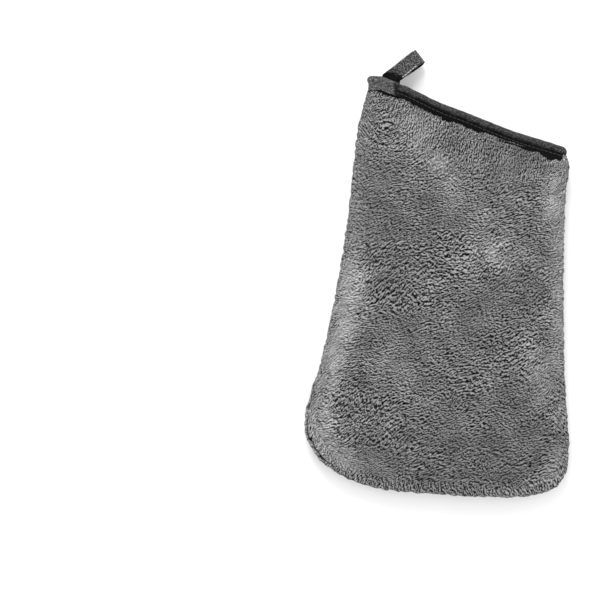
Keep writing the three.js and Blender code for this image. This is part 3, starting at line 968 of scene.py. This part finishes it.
def binding_overlap():
    """The tape's end, lapped over its start at the left corner. Its paler tape is painted highlight, fading
    into the binding's painted shade towards its far end.
    """
    origins, outs, at = mouth_frames(660)
    whole = at[-1] + at[1]
    before = np.linspace(whole - LAP_BEFORE, whole, 14, endpoint=False)
    wanted = np.concatenate([before, np.linspace(0, LAP_AFTER, 26)])
    pick = np.round(wanted / whole * len(at)).astype(int) % len(at)
    section = binding_section(TAPE_DROP - 3.2, LAP_LIFT, 0.65)
    near = section[: len(section) // 2]
    rows = np.repeat(near[None], len(pick), axis=0)
    run = np.linspace(0, 1, len(pick))
    rows[..., 1] = rows[..., 1] * lerp(0.97, 1.03, noise(run * 6, run * 0, 71))[:, None] - 0.35
    rows[..., 0] += (0.3 * noise(run * 5, run * 0 + 3, 72))[:, None]
    depth = np.clip(near[:, 1] / SHADE_DROP, 0, 1)
    start, end = smooth(run / 0.1), smooth((1 - run) / 0.22)
    rows[..., 0] -= (LAP_LIFT * (1 - start * end))[:, None]
    downs = np.broadcast_to(DOWN_MITT, (len(pick), 3))
    vertices, faces = sweep(origins[pick], outs[pick], downs, rows, False)
    vertices = rounded_end(vertices)
    # Painted shade down the tape, and the painted highlight fading out towards the lap's far end.
    highlight_fade = smooth((run[:, None] - 0.12 * depth - 0.62) / 0.25)
    low = np.clip(0.3 * depth + 0.45 * highlight_fade, 0, 0.62).ravel()
    return make_piece(
        "binding_overlap", vertices, faces, BINDING_END_PAINTED_LIT,
        attributes=[("weave", tape_attributes(wanted, near)), ("low", low)],
    )


# ---- Stitches ----


def stitch(a, b, out, radius, sides=7):
    """One stitch from a to b: a short thread that dips into the cloth at both ends."""
    run = np.array([-0.06, 0.0, 0.12, 0.35, 0.65, 0.88, 1.0, 1.06])
    lift = np.array([-1.3, -0.7, 0.15, 0.45, 0.45, 0.15, -0.7, -1.3]) * radius
    thick = np.array([0.35, 0.8, 1, 1, 1, 1, 0.8, 0.35])
    along = unit(b - a)
    side = unit(np.cross(along, out))
    origins = a + (b - a) * run[:, None] + out * lift[:, None]
    section = circle(radius, sides=sides)[None] * thick[:, None, None]
    us = np.broadcast_to(side, origins.shape)
    vs = np.broadcast_to(np.cross(along, side), origins.shape)
    return sweep(origins, us, vs, section, False)


def stitch_row(path, outs, length, gap, radius):
    """Stitches of one length with gaps between them along a path, as one mesh."""
    run = np.concatenate([[0], np.cumsum(np.linalg.norm(np.diff(path, axis=0), axis=1))])
    count = int(run[-1] // (length + gap))

    def place(values, at):
        return np.array([np.interp(at, run, values[:, k]) for k in range(3)])

    parts = []
    for i in range(count):
        at = (i + 0.5) * run[-1] / count
        a, b = place(path, at - length / 2), place(path, at + length / 2)
        parts.append(stitch(a, b, unit(place(outs, at)), radius))
    return merged(parts)


def binding_stitches(name, node, side):
    origins, outs, at = mouth_frames(400)
    stand = tape_height(np.full(len(at), BINDING_STITCH_DROP)) + 0.12
    path = origins + outs * (side * stand)[:, None] + DOWN_MITT * BINDING_STITCH_DROP
    path = np.vstack([path, path[:1]])
    outs = np.vstack([outs, outs[:1]]) * side
    vertices, faces = stitch_row(path, outs, STITCH_LENGTH, STITCH_GAP, STITCH_RADIUS)
    piece = make_piece(name, vertices, faces, THREAD)
    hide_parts(node)


# ---- The seam inside ----


def seam_frames(count, start=0.0, end=1.0):
    at = np.linspace(start, end, count)
    index = at * (len(SIDES) - 1)
    place = np.stack([np.interp(index, np.arange(len(SIDES)), SIDES[:, d]) for d in range(2)], axis=1)
    tangent = unit(np.gradient(place, axis=0))
    origins = np.column_stack([place, np.full(count, SEAM_Z)])
    inward = np.column_stack([-tangent[:, 1], tangent[:, 0], np.zeros(count)])
    return origins, inward, at


def seam_allowance(name, side):
    """The strip of a panel that turns in at the seam, cut a little unevenly."""
    origins, inward, at = seam_frames(260, 0.004, 0.996)
    low, high = sorted((0.16 * side, 1.4 * side))
    section = np.array([(2.0, low), (13.4, low), (13.7, (low + high) / 2), (13.4, high), (2.0, high)])
    rows = np.repeat(section[None], len(at), axis=0)
    rows[:, 1:4, 0] += (0.35 * noise(at * 90, at * 0, 81))[:, None]
    vertices, faces = sweep(origins, inward, np.broadcast_to(UP, origins.shape), rows, False)
    plain = np.asarray(vertices)
    flags = [("comb", 0.0), ("parting", 0.0), ("painted_light_and_tone", 0.0), ("lining", 1.0)]
    attributes = [("pile", plain), ("rim", plain)]
    attributes += [(key, np.full(len(plain), value)) for key, value in flags]
    make_piece(name, vertices, faces, PLUSH, attributes=attributes)


def overlock():
    """Thread wound over the raw edges of both allowances, as one long coil."""
    turns, points = 250, 12
    origins, inward, _ = seam_frames(turns * points, 0.012, 0.988)
    angle = 2 * np.pi * np.arange(turns * points) / points
    reach = 12.2 + 2.0 * np.sign(np.cos(angle)) * np.abs(np.cos(angle)) ** 0.6
    height = 1.95 * np.sign(np.sin(angle)) * np.abs(np.sin(angle)) ** 0.6
    path = origins + inward * reach[:, None] + UP * height[:, None]
    tangent = unit(np.gradient(path, axis=0))
    side = unit(np.cross(tangent, unit(np.cross(inward, UP))))
    vertices, faces = sweep(path, side, np.cross(tangent, side), circle(0.22, sides=6), False)
    piece = make_piece("overlock_stitches", vertices, faces, THREAD)
    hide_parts("side_seam_overlock")


# ---- The hanging loop ----

ALONG_LOOP = np.array([math.cos(LOOP_ANGLE), math.sin(LOOP_ANGLE), 0.0])
ACROSS_LOOP = np.array([ALONG_LOOP[1], -ALONG_LOOP[0], 0.0])
SLANT = float(ALONG_LOOP @ OUT_OF_CUFF)
HINGE = cuff_place(np.array(float(LOOP_ROOT)), 0.0, LOOP_Z) + LOOP_OUT * OUT_OF_CUFF


def turned(vectors, angle):
    """Vectors turned about the loop's length."""
    angle = np.asarray(angle)[..., None]
    return vectors * np.cos(angle) + np.cross(ALONG_LOOP, vectors) * np.sin(angle)


def loop_frames(count):
    """Frames from the tail of the upper ply round the bend to the tail of the lower ply."""
    bend = LOOP_HALF_EYE + LOOP_TAPE
    straight_end = LOOP_LENGTH - bend
    tail = np.linspace(-TAIL_LENGTH * 0.8, 0, 8, endpoint=False)
    straight = np.linspace(0, straight_end, count)
    arc = np.linspace(0, np.pi, 18)[1:-1]
    along = np.concatenate([tail, straight, np.full(len(arc), straight_end), straight[::-1], tail[::-1]])
    angle = np.concatenate([np.zeros(8 + count), arc, np.full(8 + count, np.pi)])
    out = np.maximum(along, 0)
    middle = HINGE + out[:, None] * ALONG_LOOP + np.minimum(along, 0)[:, None] * OUT_OF_CUFF
    middle = middle - UP * (LOOP_DROP * smooth((out - LOOP_START) / (LOOP_LENGTH - 8)))[:, None]
    eye = lerp(0.15, LOOP_HALF_EYE, smooth((out - LOOP_START) / 14))
    eye = np.where((angle > 0) & (angle < np.pi), LOOP_HALF_EYE, eye)
    twist = LOOP_TWIST * smooth(out / LOOP_LENGTH)
    up = turned(np.broadcast_to(UP, middle.shape), twist)
    direction = ALONG_LOOP * np.sin(angle)[:, None] + up * np.cos(angle)[:, None]
    slanted = np.broadcast_to(ALONG_CUFF / SLANT, middle.shape)
    share = smooth(np.maximum(0, out - LOOP_START) / 8)[:, None]
    across = turned(lerp(slanted, np.broadcast_to(ACROSS_LOOP, middle.shape), share), twist)
    origins = middle + direction * eye[:, None]
    length = np.concatenate([[0], np.cumsum(np.linalg.norm(np.diff(origins, axis=0), axis=1))])
    return origins, direction, across, length


def hang_tape():
    origins, direction, across, length = loop_frames(46)
    half = LOOP_WIDTH / 2
    across_at = np.array([-1, -0.97, -0.8, -0.76, -0.4, 0, 0.4, 0.76, 0.8, 0.97, 1]) * half
    rib = np.array([-0.12, 0.06, 0.06, -0.08, 0.02, 0.05, 0.02, -0.08, 0.06, 0.06, -0.12])
    top = np.stack([LOOP_TAPE + rib, across_at], axis=1)
    under = np.stack([-rib, across_at], axis=1)[::-1]
    section = np.vstack([under[::-1], top[::-1]])
    rows = np.repeat(section[None], len(length), axis=0)
    rows[..., 1] += 0.12 * noise(length / 2.2, length * 0, 91)[:, None] * np.sign(rows[..., 1])
    rows[..., 0] += (0.1 * noise(length / 3.0, length * 0, 92))[:, None]
    vertices, faces = sweep(origins, direction, across, rows, False)
    along, over = np.meshgrid(length, section[:, 1], indexing="ij")
    weave = np.stack([along, over, np.zeros_like(along)], axis=-1).reshape(-1, 3)
    # Painted shade: the tape is darker inside the loop and where it goes under the binding.
    root = 0.62 * (1 - smooth((length - TAIL_LENGTH * 0.8) / 13))
    inside = np.repeat([0.62, 0.0], [len(under), len(top)])
    low = np.maximum(root[:, None], inside).ravel()
    piece = make_piece(
        "hang_tape", vertices, faces, LOOP_CLOTH, body=None,
        attributes=[("weave", weave), ("low", low)],
    )
    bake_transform(piece)
    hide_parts("hang_loop", "hang_loop_upper_tail", "hang_loop_lower_tail")


def loop_stitches():
    """The row of stitches along the right edge of the loop's upper ply."""
    origins, direction, across, _ = loop_frames(46)
    shown = slice(14, 50)
    path = origins + direction * (LOOP_TAPE + 0.1) + across * (LOOP_WIDTH / 2 - 0.9)
    vertices, faces = stitch_row(path[shown], direction[shown], 1.6, 0.5, 0.24)
    piece = make_piece("loop_stitches", vertices, faces, PALE_THREAD, body=LOOP_BODY)
    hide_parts("hang_loop_edge_thread")


BINDING = woven_material("binding_tape", 0.012, 0.05, 0.62, 0.65)
# A paler copy of the binding tape: painted highlight on the lap at the corner.
BINDING_END_PAINTED_LIT = woven_material("binding_tape_end_painted_lit", 0.028, 0.095, 0.62, 0.6)
LOOP_CLOTH = woven_material("loop_tape", 0.012, 0.07, 0.5, 0.85)
THREAD = thread_material("sewing_thread", 0.006, 0.03)
PALE_THREAD = thread_material("pale_thread", 0.3, 0.65)

cuff_tape()
binding_overlap()
binding_stitches("binding_top_stitches", "binding_needle_thread", 1)
binding_stitches("binding_under_stitches", "binding_bobbin_thread", -1)
seam_allowance("front_seam_allowance", 1)
seam_allowance("back_seam_allowance", -1)
overlock()
hang_tape()
loop_stitches()


# ---- Camera, light and floor ----

VIEW_CENTRE = (-91.8, -17.4)
VIEW_WIDTH = 402.0
CAMERA_HEIGHT = 2600.0
FOCUS_Z = 14.0


def make_camera():
    data = bpy.data.cameras.new("camera")
    data.sensor_width = 36
    data.lens = 36 * (CAMERA_HEIGHT - FOCUS_Z) / VIEW_WIDTH
    data.clip_end = 20
    camera = bpy.data.objects.new("camera", data)
    camera.location = (VIEW_CENTRE[0] * MM, VIEW_CENTRE[1] * MM, CAMERA_HEIGHT * MM)
    bpy.context.scene.collection.objects.link(camera)
    bpy.context.scene.camera = camera


def add_area(name, place, size, power):
    data = bpy.data.lights.new(name, "AREA")
    data.energy = power
    data.shape = "DISK"
    data.size = size
    light = bpy.data.objects.new(name, data)
    light.location = place
    direction = -np.array(place)
    light.rotation_mode = "QUATERNION"
    light.rotation_quaternion = Vector(direction).to_track_quat("-Z", "Y")
    bpy.context.scene.collection.objects.link(light)


def make_floor():
    half = 3.0
    mesh = bpy.data.meshes.new("floor")
    corners = [(-half, -half, 0), (half, -half, 0), (half, half, 0), (-half, half, 0)]
    mesh.from_pydata(corners, [], [(0, 1, 2, 3)])
    mesh.materials.append(floor_material())
    floor = bpy.data.objects.new("floor", mesh)
    floor.location.z = -0.0005
    bpy.context.scene.collection.objects.link(floor)


def make_light():
    add_area("key", (-0.25, 1.3, 1.05), 0.9, 22)
    add_area("fill", (0.9, -0.5, 1.6), 1.4, 6)
    world = bpy.data.worlds.new("studio")
    world.use_nodes = True
    world.node_tree.nodes["Background"].inputs["Color"].default_value = (1, 1, 1, 1)
    world.node_tree.nodes["Background"].inputs["Strength"].default_value = 1.15
    bpy.context.scene.world = world
    bpy.context.scene.view_settings.view_transform = "Standard"


make_camera()
make_floor()
make_light()
